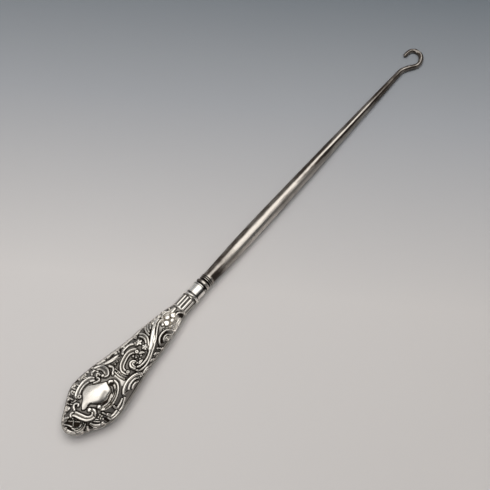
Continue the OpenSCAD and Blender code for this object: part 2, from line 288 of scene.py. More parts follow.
def far_arcade(r):
    """The open arcade along the far edge of the belly."""
    for x in (10.3, 13.1, 16.8, 20.5):
        r.ridge([[x + 0.2, -12.8], [x, -9.7]], half=0.5, top=-0.1, moat=0.3, crown=0.2)
    for start, end in ((13.1, 14.9), (17.3, 19.1)):
        r.ridge([[start, -9.15], [end, -9]], half=0.34)
    for x in (12.7, 14.5, 17.7, 18.3):
        r.ridge([[x, -8.75], [x + 0.05, -7.5]], half=0.24, top=-0.12)
    r.ring([11.5, -7.3], radius=0.5, half=0.22)
    r.ridge([[11.8, -8.6], [11.15, -8], [10.85, -6.8]], half=0.24)
    r.ridge([[22.5, -8.2], [22.7, -9.4], [22.9, -11]], half=0.4, top=-0.15)


def far_band(r):
    """The plain band along the far edge of the grip, broken by small openings."""
    r.field([[24.3, -12.5], [24.6, -8.4], [26.2, -7.4], [28, -7], [30.8, -7.3], [33, -6.9], [35, -6],
             [38, -5.9], [40.6, -5.2], [43.6, -5.6], [46, -7], [46, -12.5]], level=-0.24, bright=0.7)
    for line in ([[26.4, -7.5], [27.4, -7.2]], [[28.2, -8.6], [28, -7], [28.8, -6.1]],
                 [[29.5, -6.9], [29.9, -6.1], [30.3, -6.6]], [[33.2, -5.2], [34, -6.3], [34.4, -7.6]],
                 [[34.8, -5.3], [36.2, -5.1], [37.6, -5.5]], [[41.9, -5.4], [41.9, -4.2]],
                 [[31.2, -9.6], [31.4, -8.2]], [[36.6, -8.6], [36.9, -7]], [[39, -8.2], [39.5, -6.4]],
                 [[43.6, -8], [44, -6.2]]):
        r.gap(line, half=0.3)
    r.ring([31.7, -6.05], radius=0.55, half=0.24)
    r.ridge([[32.9, -7.2], [33, -6], [32.6, -5]], half=0.26)
    r.leaf([[40.2, -3.4], [40.5, -4.8], [40.3, -6.2]], half=0.55)


def border_wire(r):
    """The border wire beside the far seam."""
    r.ridge([[at, BORDER_FROM_SEAM - section_run(at)[-1]] for at in np.linspace(3, 46, 26)],
            half=0.45, top=0, taper=(0.8, 0.8), moat=0.3)


def near_edge(r):
    """Leaves, berries and scrolls along the near edge of the belly."""
    r.field([[2.7, 5.6], [4.1, 5.7], [4.35, 7.6], [4.9, 10.4], [3.9, 9.6], [3.1, 8.2]], level=-0.25, bright=0.6)
    r.ridge([[5, 6.7], [4.75, 8.1], [5, 9.6], [5.5, 11]], half=0.2, top=-0.1, moat=0.15, crown=0.2)
    r.ridge([[5.75, 5.9], [5.45, 7.2], [5.8, 9], [6.4, 11.2]],
            half=0.5, top=-0.05, taper=(0.6, 1.1), moat=0.2, crown=0.22)
    r.ridge([[6.95, 5.8], [7.2, 7.4], [7.75, 9], [8.3, 10.6], [8.7, 12.4]],
            half=0.42, top=-0.05, taper=(0.6, 1.4), moat=0.25, crown=0.22)
    for line in ([[8.5, 6.1], [9.1, 7.2], [9.8, 8.1]], [[9.3, 6.2], [9.9, 7.1]]):
        r.ridge(line, half=0.15, top=-0.2, moat=0.2)
    r.gap([[6.5, 6.2], [6.75, 7.6], [7.1, 9.2], [7.55, 11], [7.9, 12.5]], half=0.22)
    r.gap([[8.5, 9.6], [9.2, 10.9], [9.7, 12.6]], half=0.3)
    r.ridge([[10.4, 10], [10.8, 11.4], [11.2, 12.8]], half=0.3, top=-0.12)
    r.ridge([[7.25, 5.7], [7.8, 7.2], [8.9, 8.9], [9.9, 9.5]], half=0.24, top=0.04, taper=(0.8, 1.3), moat=0.3)
    r.bead([10.2, 9.55], radius=0.58, top=0.05, moat=0.3)
    for spot in ([10.5, 6.5], [11.4, 6.3], [11.5, 7.15], [10.7, 7.4], [11.2, 8.25]):
        r.bead(spot, radius=0.34, top=0.02, moat=0.25)
    r.gap([[11.8, 9], [11.9, 10.2], [12.2, 11.6]], half=0.42)
    r.ridge([[12.5, 6.5], [12.75, 7.3], [12.9, 8.1]], half=0.26)
    r.ridge([[13.3, 8.4], [13.6, 8.9], [13.9, 9.4]], half=0.48, top=0.03)
    r.ridge([[13.9, 10], [15, 10.25], [16.6, 10.1]], half=0.3, top=0.02)
    r.ridge([[16.95, 8], [16.95, 8.8], [17.6, 9.4], [18.7, 9.2], [19.8, 8.9], [20.8, 8.4]],
            half=0.3, top=0.02, taper=(1.1, 0.8))
    r.ridge([[17.6, 11.3], [19.2, 11.1], [20.4, 10.2], [21.8, 9]], half=0.3, top=-0.1)
    r.leaf([[21.9, 7.9], [22.8, 7.2], [23.9, 6.6]], half=0.55)
    r.ridge([[12.7, 9.6], [13.1, 10.7], [14, 11.4], [15.6, 11.8], [17, 11.7]], half=0.26, top=-0.08)


def near_scroll(r):
    """The scroll on the near side, between the belly and the grip."""
    r.strap([[22.4, 7.6], [23.2, 6.7], [24.2, 6.1], [25.5, 5.6], [27, 5.4], [28.5, 5.5], [29.8, 5.8],
             [30.9, 6.3], [31.7, 6.95], [32.1, 7.7], [31.9, 8.4]],
            [[24.9, 7.9], [25.7, 7.3], [26.6, 6.9], [27.5, 6.75], [28.5, 6.8], [29.5, 7.1], [30.3, 7.7]],
            w_outer=0.46, w_inner=0.28)
    r.ridge([[26.1, 8.9], [26.9, 8.3], [27.8, 8.1], [28.7, 8.3], [29.4, 8.8]], half=0.3)
    r.bead([31.3, 8.2], radius=0.38)


def butt_basket(r):
    """The butt: a basket of three ribs under crossed wires."""
    r.gap([[2.2, -1.6], [3, -0.6], [3.6, 0.6], [4, 1.8]], half=0.9)
    r.gap([[1.2, -0.4], [1.3, 0.6], [1.6, 1.8]], half=0.22)
    r.ridge([[0.5, -0.9], [0.45, 0.4], [0.7, 1.5], [1.15, 2.7], [1.7, 3.9]], half=0.26)
    r.bead([0.62, -0.4], radius=0.42, top=0.04)
    r.ridge([[1.3, -1.8], [1.75, -0.6], [2.1, 0.4], [2.3, 1.6]], half=0.2, top=0)
    r.ridge([[1.2, -2.7], [1.9, -2.45], [2.6, -2]], half=0.22, top=-0.15)
    for line in ([[1.95, 1.7], [2.3, 2.5], [3, 3.1], [4, 3.5], [5, 3.3]],
                 [[2, 2.8], [2.7, 3.7], [3.6, 4.15], [4.7, 4.15], [5.7, 3.7]],
                 [[2.2, 3.9], [3.1, 4.7], [4.1, 4.95], [5.2, 4.8], [6, 4.3]]):
        r.ridge(line, half=0.22, top=0.08, moat=0.25, crown=0.3)
    r.gap([[2.6, 3.05], [3.4, 3.65], [4.4, 3.83], [5.4, 3.5]], half=0.17)
    r.gap([[2.5, 3.95], [3.4, 4.43], [4.5, 4.55], [5.7, 4.05]], half=0.15)
    r.gap([[3.1, 2.1], [4, 2.65], [4.9, 2.4]], half=0.3)
    for line in ([[3.1, -0.9], [3.8, 0.2], [4.5, 1.3], [5.2, 2.4]],
                 [[4.9, -0.7], [4.3, 0.2], [3.5, 0.9], [2.7, 1.4]]):
        r.ridge(line, half=0.15, top=-0.05, moat=0.2)
    r.bead([4.5, -0.35], radius=0.28)


def beaded_column(r):
    """The beaded column beside the big C, and the leaves round it."""
    r.field([[24.2, -0.7], [25.4, -0.5], [25.7, 1.5], [25.6, 3.4], [26.4, 4.9], [24, 5.6], [23.6, 5.2],
             [24.5, 3.4], [24.6, 1.5]], level=-0.4, bright=0.45)
    r.ridge([[26.3, -3.4], [26.65, -2.4], [26.5, -1.5], [25.9, -0.95], [25.2, -0.6], [24.7, -0.1]],
            half=0.36, top=0)
    r.ridge([[25.85, -0.2], [25.7, 1.2], [25.75, 2.6], [26.1, 4.1]], half=0.22)
    r.ridge([[26.8, -0.9], [26.85, 0.4], [26.8, 1.6], [26.9, 2.8], [27.25, 3.9]], half=0.2, top=-0.12)
    for i in range(6):
        r.bead([26.3, 0.7 + 0.62 * i], radius=0.25, top=-0.08, moat=0.12)
    r.leaf([[25.4, -6.5], [26.4, -5.5], [27.4, -4.9], [28.6, -4.45], [29.8, -4.1], [31.5, -3.95]],
           half=0.75, peak=0.75)
    for i in range(6):
        x = 27.6 + 0.62 * i
        r.ridge([[x, -3.5 + 0.02 * i], [x + 0.3, -2.5 - 0.05 * i]], half=0.15, top=-0.25, moat=0.12)
    for spot in ([28.1, -2.1], [29.3, -2.3]):
        r.bead(spot, radius=0.3)
    r.ridge([[32.7, -3], [33.7, -3.8], [35, -4.05], [36.5, -3.9], [37.6, -3.2], [38.2, -2.2], [38.3, -1.4]],
            half=0.46, top=-0.05)
    r.bead([35.1, -4.9], radius=0.4)


def fan_and_trellis(r):
    """Fan leaves and the flowered trellis towards the neck."""
    for line in ([[43.9, -0.7], [44.2, -2], [44.8, -3.3], [45.7, -4.5], [46.6, -5.6], [47, -7]],
                 [[44.9, -1.6], [45.5, -2.9], [46.4, -3.9], [47.5, -4.9], [48.1, -6.3]],
                 [[46.2, -2.2], [47.2, -3.1], [48.4, -3.9], [49.4, -4.9], [49.9, -6.2]],
                 [[47.9, -2.9], [49.3, -3.6], [50.6, -4.4], [51.6, -5.6]],
                 [[50.2, -3.1], [51.7, -3.5], [53, -4.3], [53.9, -5.4]],
                 [[52.4, -3.1], [53.8, -3.4], [55, -4.1], [55.9, -5]]):
        r.ridge(line, half=0.38, top=0.02, taper=(0.8, 1.1), moat=0.2)
    r.ridge([[49.6, -3.4], [51.2, -3.1], [53, -3], [54.8, -3.2], [56.2, -3.9]], half=0.26)
    for start, end in (((49.9, -0.4), (53.2, 3.2)), ((51.2, -1.2), (55, 2.9)), ((53.2, -1.6), (56.4, 1.9)),
                       ((50, 2.2), (53.2, -1.6)), ((51.7, 3), (55.6, -1.1)), ((53.5, 3.3), (56.6, 0.2))):
        r.ridge([start, end], half=0.2, top=0, moat=0.2)
    for spot, size in (([51.2, 1.05], 1), ([53.1, -0.3], 0.86), ([55.2, 0.8], 1.02), ([53.5, 1.9], 0.74),
                       ([49.9, 0.4], 0.45)):
        r.floret(spot, radius=size * 1.3, petals=4, turn=45, top=0.04)
        r.ridge([spot, [spot[0] + 0.1, spot[1]]], half=size * 0.92, top=0.08, moat=0.2, crown=0.15)
    r.ridge([[51.6, -1.6], [52.4, -2.2], [53.4, -2.6], [54.6, -2.3], [55.7, -1.5]], half=0.32)
    for spot in ([48.9, 1.9], [50, 2.25], [51.2, 2.75]):
        r.bead(spot, radius=0.3)


def big_c(r):
    """The big C of the grip and what fills it."""
    r.strap([[28.5, 3.9], [27.8, 3.2], [27.5, 2.2], [27.55, 1.35], [27.9, 0.6], [28.6, -0.15], [29.5, -0.75],
             [30.6, -1.25], [31.9, -1.65], [33.2, -1.95], [34.4, -2], [35.5, -1.7], [36.4, -1.1],
             [36.95, -0.4], [37.05, 0.3]],
            [[28.9, 2.8], [28.7, 2], [28.9, 1.2], [29.5, 0.6], [30.5, 0.1], [31.7, -0.3], [33, -0.65],
             [34.2, -0.65], [35.1, -0.25], [35.6, 0.3]], hollow=-0.6, bright=0.1)
    r.ring([28.9, 3.2], radius=0.42, half=0.22)
    r.ring([36.4, 0.45], radius=0.42, half=0.26)
    for spot in ([34.3, 0.7], [34.7, 1.7], [36.4, 2.5], [37.6, 2.7], [33.6, 3.3], [35.3, 3.1]):
        r.bead(spot, radius=0.4)
    for line in ([[33.6, 4.2], [34.6, 3.9], [35.8, 4]], [[36.2, 1.5], [37.2, 1.8], [38.2, 2.7]]):
        r.leaf(line, half=0.5)


def upright_c(r):
    """The upright C and its florets."""
    r.strap([[42.5, -4], [42.95, -2.9], [43.05, -1.8], [42.9, -0.7], [42.4, 0.3], [41.7, 1.2], [40.8, 2],
             [40, 2.6]],
            [[41.5, -3.2], [41.85, -1.9], [41.8, -0.9], [41.4, 0], [40.8, 0.7], [40.1, 1.3]],
            w_outer=0.3, w_inner=0.26)
    r.floret([39.5, -1.6], radius=1.35, petals=5, turn=20, top=0.02)
    r.floret([39.6, 1.4], radius=1.2, petals=5, turn=50, top=0.02)
    r.bead([38.5, -2.4], radius=0.36)


def broad_ribbon(r):
    """The broad ribbon that runs as an S along the grip."""
    r.strap([[31.5, 3.3], [31.5, 4.4], [31.8, 5.4], [32.6, 6.05], [33.8, 6.35], [35.2, 6.45], [36.6, 6.25],
             [37.9, 5.8], [39.2, 5.15], [40.5, 4.45], [41.8, 3.8], [43.2, 3], [44.6, 2.15], [46.15, 1],
             [47.7, -0.15], [49, -1], [50.4, -1.4], [51.5, -1.1]],
            [[32.6, 4.4], [33.3, 4.8], [34.3, 5], [35.5, 5.05], [36.8, 4.95], [38, 4.6], [39.2, 4],
             [40.3, 3.4], [41.4, 2.7], [42.5, 1.95], [43.5, 1.2], [45, 0.25], [46.5, -0.75], [48.1, -1.7],
             [49.4, -2.45], [50.8, -2.5]], w_outer=0.3, w_inner=0.32, hollow=-0.8, tops=(-0.02, 0), bright=0)
    r.strap([[31.4, 4.3], [31, 3.4], [31, 2.5], [31.5, 1.75], [32.3, 1.5], [33, 1.8], [33.5, 2.5]],
            [[32, 4], [31.9, 3.2], [32, 2.6], [32.4, 2.3], [32.8, 2.6]], w_outer=0.34, w_inner=0.22)
    r.ridge([[40.3, 3.4], [41.4, 2.7], [42.5, 1.95], [43.5, 1.25], [45, 0.2], [46.5, -0.8], [48.1, -1.8],
             [49.4, -2.45], [50.3, -2.65]], half=1.05, top=0.03, taper=(0.55, 0.62), moat=0, crown=0.16)
    r.field([[42, 2.9], [43.2, 1.6], [45, 0.6], [45.6, 0.9], [44.2, 2.2], [42.8, 3.1]],
            level=-0.16, bright=0.75, fall=0.2)
    r.gap([[45.8, 0.6], [47, -0.4], [48.4, -1.25], [49.6, -1.85], [50.8, -2]], half=0.1)
    r.ridge([[43.2, 3], [44.6, 2.15], [46.1, 1], [47.6, -0.05], [48.8, -0.75], [49.8, -1.25], [50.8, -1.25],
             [51.6, -0.75]], half=0.26, top=0, moat=0)
    r.gap([[49.9, -0.65], [50.7, -0.75], [51.3, -0.5]], half=0.2)


def grip_edge(r):
    """Small leaves along the near edge of the grip."""
    r.strap([[33, 8.3], [34.2, 7.7], [35.6, 7.8], [36.8, 8.5]],
            [[33.9, 9.2], [34.8, 8.8], [35.8, 9.3]], w_outer=0.28, w_inner=0.22)
    for line in ([[37.4, 6.9], [38.6, 7.3], [39.7, 8.4]], [[39.9, 6.1], [41.1, 6.5], [42.2, 7.6]]):
        r.leaf(line, half=0.5)
    r.ridge([[42.5, 5.2], [43.3, 6], [43.7, 7.2]], half=0.28)
    r.ridge([[51.8, 6.4], [53.4, 6.5], [55, 6.1]], half=0.26)
    for spot in ([37.3, 9], [40.9, 8.6], [44.3, 7.6]):
        r.bead(spot, radius=0.38)


def arch_and_loops(r):
    """The arch scroll, and the loops that end the scrollwork at the neck."""
    r.strap([[44.2, 4.9], [44.7, 3.9], [45.5, 3.1], [46.5, 2.65], [47.7, 2.45], [48.9, 2.6], [49.9, 3.1],
             [50.7, 3.8], [51.3, 4.8], [51.5, 5.7]],
            [[46.1, 5.4], [46.5, 4.6], [47.1, 4.15], [47.8, 4], [48.6, 4.25], [49.3, 4.9], [49.7, 5.7]],
            hollow=-0.8, bright=0)
    r.ring([47.7, 5.6], radius=0.72, half=0.22)
    r.bead([47.7, 5.6], radius=0.36)
    r.ridge([[51.9, 3.2], [53, 3.75], [54.2, 4.1], [55.4, 3.8], [56.3, 3.2]], half=0.5, top=0.05, crown=0.45)
    r.ridge([[53.2, 4.9], [54.6, 5.1], [56, 4.8]], half=0.28)
    r.gap([[53, 3], [54.6, 3.1], [56, 2.8]], half=0.2)
    r.gap([[56.6, 2.5], [57.4, 3], [57.6, 4]], half=0.6)
    r.gap([[55.9, -0.1], [56.8, 0.5], [57.6, 0.9]], half=0.22)
    r.ridge([[56, 1.4], [57, 1.35], [58, 1.9], [58.7, 2.75], [58.9, 3.8]], half=0.26, top=0.06)
    r.ridge([[56.4, -2.5], [56.9, -3.5], [57.2, -4.6]], half=0.3)
    r.ridge([[56.2, -0.65], [57, -0.85], [57.6, -0.85]], half=0.62, top=0.03, crown=0.4)


def cartouche_frame(r):
    """The scrolls that frame the cartouche."""
    r.strap([[10.65, -3.9], [10.6, -4.75], [11.05, -5.4], [11.9, -5.95], [13.1, -6.4], [14.2, -6.7],
             [15.4, -6.9], [16.55, -6.95], [17.7, -6.7], [18.75, -6.25], [19.4, -5.5], [19.7, -4.6]],
            [[12.2, -4.4], [13.25, -4.9], [14.2, -5.2], [15.4, -5.3], [16.55, -5.15], [17.5, -4.8],
             [18.35, -4.3]])
    r.ring([11.5, -3.65], radius=0.55, half=0.24)
    r.ridge([[18.15, -4.55], [18.55, -4.25], [18.95, -3.85]], half=0.46, top=0.05, crown=0.4)
    r.ridge([[18.2, -3], [19.1, -2.5], [20.1, -2.25], [20.6, -2.9], [20.4, -3.6]], half=0.3, top=0.02)
    r.gap([[19.4, -3], [19.7, -3.05]], half=0.3)
    r.ridge([[20.3, -6.3], [21.1, -7], [22.2, -6.8], [22.6, -6], [22.2, -5.3]], half=0.36)
    r.ridge([[20.7, -4.2], [21.4, -4.8], [22, -4.3], [21.8, -3.6]], half=0.3)
    r.strap([[22.9, -8.1], [24, -7.2], [24.9, -6], [25.2, -4.6], [25.1, -3.3], [24.6, -2.2], [23.7, -1.3],
             [22.8, -1.3], [22.2, -2], [22.3, -2.7]],
            [[22.9, -6.3], [23.5, -5.4], [23.7, -4.4], [23.6, -3.4], [23.1, -2.6]])
    r.bead([22.2, -2.6], radius=0.6, top=0.04)
    r.strap([[12.7, 5], [13.45, 6], [14.8, 6.7], [16.35, 6.98], [17.9, 6.88], [19.4, 6.42], [20.75, 5.8],
             [22.1, 4.95], [23.1, 3.8], [23.5, 2.6], [23.2, 1.3], [22.3, 0.65], [21.4, 1]],
            [[13.85, 4.95], [15.2, 5.45], [16.55, 5.5], [17.9, 5.25], [19.4, 5], [20.75, 4.5], [21.7, 3.7],
             [22.1, 2.8], [21.9, 2]], w_outer=0.34, w_inner=0.2, hollow=-0.42, bright=0.35)
    r.ridge([[13.6, 5.55], [15.2, 6.05], [16.8, 6.25], [18.6, 5.9], [20.2, 5.3], [21.6, 4.4]],
            half=0.17, top=0, moat=0)
    r.gap([[14.4, 5.6], [15.6, 5.85], [17.2, 5.95], [18.8, 5.5], [20.2, 4.95], [21.4, 4.1]], half=0.11)
    r.gap([[14.2, 6.3], [16.2, 6.62], [18.2, 6.4], [19.8, 5.85], [21.2, 5], [22.3, 4.05], [22.85, 3],
           [22.7, 2], [22.1, 1.5]], half=0.13)
    r.gap([[21.6, 2], [22.3, 2.2]], half=0.3)
    r.gap([[14, 4.55], [15.6, 4.75], [17, 4.7]], half=0.16)
    r.ridge([[17.2, 5.15], [18.2, 4.9], [19.2, 4.4]], half=0.26, top=0.03, taper=(0.7, 1.1), moat=0.1)
    r.ridge([[21.45, 0.85], [22.1, 0.8], [22.75, 1.4]], half=0.46, top=0.04, moat=0.2, crown=0.4)
    r.bead([13.15, 4.25], radius=0.76, top=0.03)
    r.strap([[5, -1.3], [5.5, -0.7], [5.85, 0.85], [6.25, 2.4], [6.95, 3.8], [8.1, 4.85], [9.4, 5.3],
             [10.6, 5.1], [11.4, 4.3], [11.5, 3.3]],
            [[5.4, -2], [6.35, -1.65], [6.85, -0.7], [7.1, 0.45], [7.4, 1.6], [7.8, 2.95], [8.45, 3.8],
             [9.3, 4.2], [10.1, 3.9], [10.4, 3.2]], w_outer=0.34, w_inner=0.32, hollow=-0.45)
    r.ridge([[4.5, -1.3], [4.9, -1.9], [5.6, -2.1], [6.3, -1.7]], half=0.3)
    r.ridge([[10.6, 2.5], [11.15, 3.4], [11.05, 4.4], [10.3, 5.05]],
            half=0.46, top=0.02, taper=(1.1, 0.75), crown=0.4)
    r.bead([10.2, 2.35], radius=0.76, top=0.05)
    r.ridge([[7, -1.9], [7.5, -2.8], [8.3, -3.3], [9.1, -2.9], [9.3, -2.1], [8.8, -1.7]], half=0.34)


def cartouche(r):
    """The smooth cartouche, with patches of painted dark reflection on its slopes."""
    r.boss([[8.65, 0.3], [9.3, -0.5], [10.1, -1.1], [11.2, -1.75], [12, -2.4], [12.6, -3.1], [13.3, -3.6],
            [14.2, -3.8], [15.4, -3.87], [16.3, -3.72], [17.1, -3.1], [17.8, -2.4], [18.7, -1.75],
            [19.6, -1.1], [20.5, -0.5], [21.2, 0.1], [20.9, 1.1], [20.6, 2.3], [20.2, 3.3], [19.4, 3.8],
            [18.4, 3.95], [17.4, 4.45], [16.5, 4.45], [15.4, 4.15], [14.5, 3.75], [13.8, 3.1], [13.2, 2.6],
            [12.7, 1.9], [12.1, 1.05], [11.2, 0.85], [10.2, 0.95], [9.2, 0.85]], top=0.04)
    # dark reflections painted on the near slopes, and a lighter painted grey over the far upper-left slope
    r.painted_dark_reflection([[15.4, 3], [16.8, 2.5], [18.2, 2.2]], half=0.85, depth=0.62)
    r.painted_dark_reflection([[12.8, 2.1], [14, 3.1], [15.6, 3.8]], half=0.75, depth=0.8)
    r.painted_dark_reflection([[9.6, 0.5], [11.2, 0.3]], half=0.7, depth=0.45)
    r.painted_dark_reflection([[11.5, -0.4], [13.5, -1.9], [15.4, -2.8]], half=1.5, depth=0.22)


def lay_scrollwork(r):
    """All the stamped forms, each laid over those before it."""
    for lay in (far_shoulder, far_arcade, far_band, border_wire, near_edge, near_scroll, butt_basket,
                beaded_column, fan_and_trellis, big_c, upright_c, broad_ribbon, grip_edge, arch_and_loops,
                cartouche_frame, cartouche):
        lay(r)


# ---------------------------------------------------------------- laying down and mesh steps
# How the tool lies: the belly and the hook's bowl both touch the surface
LIE = math.radians(1.664166)
WIRE_R = 0.925      # half the thickness of the hook's wire
NOSE = 202.075      # how far its middle line reaches
MIDDLE = (WIRE_R - NOSE * math.cos(LIE)) / 2


def lie_down(x, y, z):
    """Points of the straight tool, in mm, as it lies on the surface, in metres."""
    run = x - NOSE
    return np.stack([run * math.cos(LIE) + z * math.sin(LIE) - MIDDLE, y,
                     -run * math.sin(LIE) + z * math.cos(LIE) + WIRE_R], -1) * MM


def read(piece, what="co"):
    """The places, or the normals, of a piece's corners."""
    flat = np.zeros(len(piece.data.vertices) * 3)
    piece.data.vertices.foreach_get(what, flat)
    return flat.reshape(-1, 3)


def put(piece, places):
    piece.data.vertices.foreach_set("co", places.astype(np.float32).ravel())
    piece.data.update()


def note(piece, name, values):
    """Keeps a value for each corner, for the finish to use."""
    piece.data.attributes.new(name, "FLOAT", "POINT").data.foreach_set("value", values.astype(np.float32))


def sheet_of(name, rows, columns):
    """A flat grid as a start, with the place of each corner from 0 to 1 along and -1 to 1 across."""
    bpy.ops.object.select_all(action="DESELECT")
    bpy.ops.mesh.primitive_grid_add(x_subdivisions=rows, y_subdivisions=columns, size=2)
    piece = bpy.context.object
    piece.name = name
    flat = read(piece)
    return piece, (flat[:, 0] + 1) / 2, flat[:, 1]


def choose(first, *others):
    """Selects these pieces alone, the first one active."""
    bpy.ops.object.select_all(action="DESELECT")
    for piece in (first, *others):
        piece.select_set(True)
    bpy.context.view_layer.objects.active = first


def edit(piece, *steps):
    """Runs edit-mode steps on the whole of one piece."""
    choose(piece)
    bpy.ops.object.mode_set(mode="EDIT")
    bpy.ops.mesh.select_all(action="SELECT")
    for step in steps:
        step()
    bpy.ops.object.mode_set(mode="OBJECT")


def merge():
    bpy.ops.mesh.remove_doubles(threshold=1e-7)


def outward():
    bpy.ops.mesh.normals_make_consistent(inside=False)


def close_mouth():
    bpy.ops.mesh.select_mode(type="EDGE")
    bpy.ops.mesh.select_all(action="DESELECT")
    bpy.ops.mesh.select_non_manifold(extend=False, use_wire=False, use_boundary=True, use_multi_face=False,
                                     use_non_contiguous=False, use_verts=False)
    bpy.ops.mesh.edge_face_add()
    bpy.ops.mesh.select_all(action="SELECT")


def close_skin(piece, crease, *steps):
    """Joins a piece's seams, turns its faces outward and shades it smooth up to a crease, in degrees."""
    edit(piece, merge, *steps, outward)
    bpy.ops.object.shade_smooth_by_angle(angle=math.radians(crease))
    return piece


# ---------------------------------------------------------------- stamped shells
ROWS, COLUMNS, LINING = 480, 188, 12
BUTT_ROWS = 0.16                                # share of the rows that the round butt takes
POLE_ROWS, LINING_POLE_ROWS = 3, 6              # rows drawn together at the butt
RIM, RIM_SLOPE, RIM_LEVEL = 0.1, 0.35, 0.2      # plain rim beside the seam
SHALLOW_NECK, SHALLOW_BUTT = (50, 58), (1.6, 0.0)
SCROLLS_END, FLUTES_START, FLUTES_END = (58.7, 59.15), (59.1, 59.6), (63.9, 64.2)
FLUTE_MARGIN, CREVICE_ROUNDS, CREVICE_DEPTH = 0.02, 26, 0.26
TRELLIS, TRELLIS_SIDE, BELLY = (47, 52, 56.2, 57.4), (-2.8, -1.8), (8, 11, 24, 27)
FAR_SHADE_RUN, FAR_SHADE_FROM_SEAM, FAR_SHADE_SIDE, PALER_FAR_SHADE = (1, 3, 44, 48), (1.7, 1.1), (0, -1), (23, 26)
HOLLOWS, DEEP_HOLLOWS, FLUTE_HOLLOWS = (0.17, 0.5), (0.66, 0.88), (0.08, 0.28)
NECK_FAR_SIDE, NECK_NEAR_SIDE = (-1.1, -1.6), (1.8, 2.3)
# from the envelope to the lining: at most a share of the half depth and a little more
SHELL_THICK, NECK_THINNER, NECK_THINS = 1.15, 0.5, (50, 60)
BUTT_THICK, BUTT_THINS = 1.25, (0, 6)
DEPTH_SHARE, DEPTH_MORE = 0.55, 0.02
SHELL_CREASE = 60


def stations(u):
    """Even steps over the surface: finer at the round butt."""
    return np.where(u < BUTT_ROWS, BUTT_AT * (u / BUTT_ROWS)**2,
                    BUTT_AT + (MOUTH_AT - BUTT_AT) * (u - BUTT_ROWS) / (1 - BUTT_ROWS))


def around(s, v):
    """The angle from the top line, and the distance m round the section, at a share v of the half round."""
    angle, m = np.zeros(s.shape), np.zeros(s.shape)
    for at in np.unique(s):
        row = s == at
        run = section_run(at)
        angle[row] = np.interp(np.abs(v[row]), run / max(run[-1], 1e-9), SECTION_TURNS) * np.sign(v[row])
        m[row] = v[row] * run[-1]
    return angle, m


def to_seam(s, m):
    """The distance round the section from each place to the nearest seam."""
    quarter = np.zeros(s.shape)
    for at in np.unique(s):
        row = s == at
        quarter[row] = np.abs(m[row]).max()
    return quarter - np.abs(m)


def stamped_surface(s, m, angle):
    """How far the stamped surface lies below the envelope, and how dark it is painted, from 0 to 1: tarnish in the
    hollows, with painted shade and dark reflections in places.
    """
    relief = Relief(s, m)
    lay_scrollwork(relief)
    seam = to_seam(s, m)
    rim = smooth(RIM + RIM_SLOPE, RIM, seam)
    neck = smooth(*SCROLLS_END, s)
    shallow = 1 - 0.3 * smooth(*SHALLOW_NECK, s) - 0.5 * smooth(*SHALLOW_BUTT, s)
    flute = -FLUTE_DEPTH * (1 - np.cos(FLUTES * angle)) / 2 * smooth(*FLUTES_START, s) - FLUTE_MARGIN
    h = (relief.h * (1 - rim) - RIM_LEVEL * rim) * shallow * (1 - neck) + flute * neck

    # dark in hollows and crevices, less so where the trellis and the belly are rubbed
    deep = smooth(*DEEP_HOLLOWS, -relief.h) * (1 - neck) * (1 - rim)
    worn = 1 - 0.8 * stretch(*TRELLIS, s) * smooth(*TRELLIS_SIDE, m) - 0.1 * stretch(*BELLY, s)
    hollows = 0.82 * worn * smooth(*HOLLOWS, -h) + (0.3 + 0.7 * worn) * (0.5 * crevices(h) + 0.4 * deep)
    clean = relief.clean * (1 - neck)
    dark = np.clip(hollows, 0, 1) * (1 - clean)
    # the cartouche's dull tone and its painted dark reflections, and a strip of painted shade along the far edge
    # beside the seam
    dull_and_dark_reflection = np.where(clean > 0.95, np.maximum(0.14, relief.dull_and_dark_reflection), 0)
    far_edge_shade = smooth(*FAR_SHADE_FROM_SEAM, seam) * smooth(*FAR_SHADE_SIDE, m) * stretch(*FAR_SHADE_RUN, s) * (1 - 0.4 * smooth(*PALER_FAR_SHADE, s))
    # the flutes, the end of the neck, and painted shade down its two sides
    flutes = np.maximum(0.9 * smooth(*FLUTE_HOLLOWS, -h), 0.85 * smooth(*FLUTES_END, s))
    sides = np.maximum(0.3 * smooth(*NECK_FAR_SIDE, m), 0.36 * smooth(*NECK_NEAR_SIDE, m))
    # painted shade on the plain rim beside the seam too
    for more in (dull_and_dark_reflection, 0.7 * rim * (1 - neck), 0.95 * far_edge_shade, neck * flutes, neck * sides):
        dark = np.maximum(dark, more)
    return h, dark


def crevices(h):
    """How far each place lies below those round it, from 0 to 1."""
    wide = h.reshape(COLUMNS + 1, ROWS + 1)
    for _ in range(CREVICE_ROUNDS):
        spread = np.pad(wide, 1, mode="edge")
        wide = (spread[:-2, 1:-1] + spread[2:, 1:-1] + spread[1:-1, :-2] + spread[1:-1, 2:] + wide) / 5
    return np.clip((wide.ravel() - h) / CREVICE_DEPTH, 0, 1)


def lining_push(s):
    """How far the inside of the stamping lies below its envelope."""
    return np.minimum(SHELL_THICK - NECK_THINNER * smooth(*NECK_THINS, s), DEPTH_SHARE * half_d(s) + DEPTH_MORE)


def half_section(at, s, angle, side, push):
    """Places on one half of the handle, pushed in from its envelope."""
    w, d = np.maximum(half_w(s) - push, 0), np.maximum(half_d(s) - push, SEAM / 2)
    return lie_down(at, -w * np.sin(angle), side * (SEAM / 2 + (d - SEAM / 2) * np.cos(angle)))


def press(piece, depth):
    """Presses a piece in along its normals, by a depth in mm at each corner."""
    deepest = float(depth.max())
    group = piece.vertex_groups.new(name="stamping")
    for i, share in enumerate(depth / deepest):
        group.add([i], float(share), "REPLACE")
    stamp = piece.modifiers.new("stamping", "DISPLACE")
    stamp.vertex_group = "stamping"
    stamp.mid_level = 0
    stamp.strength = -deepest * MM
    bpy.context.view_layer.objects.active = piece
    bpy.ops.object.modifier_apply(modifier="stamping")


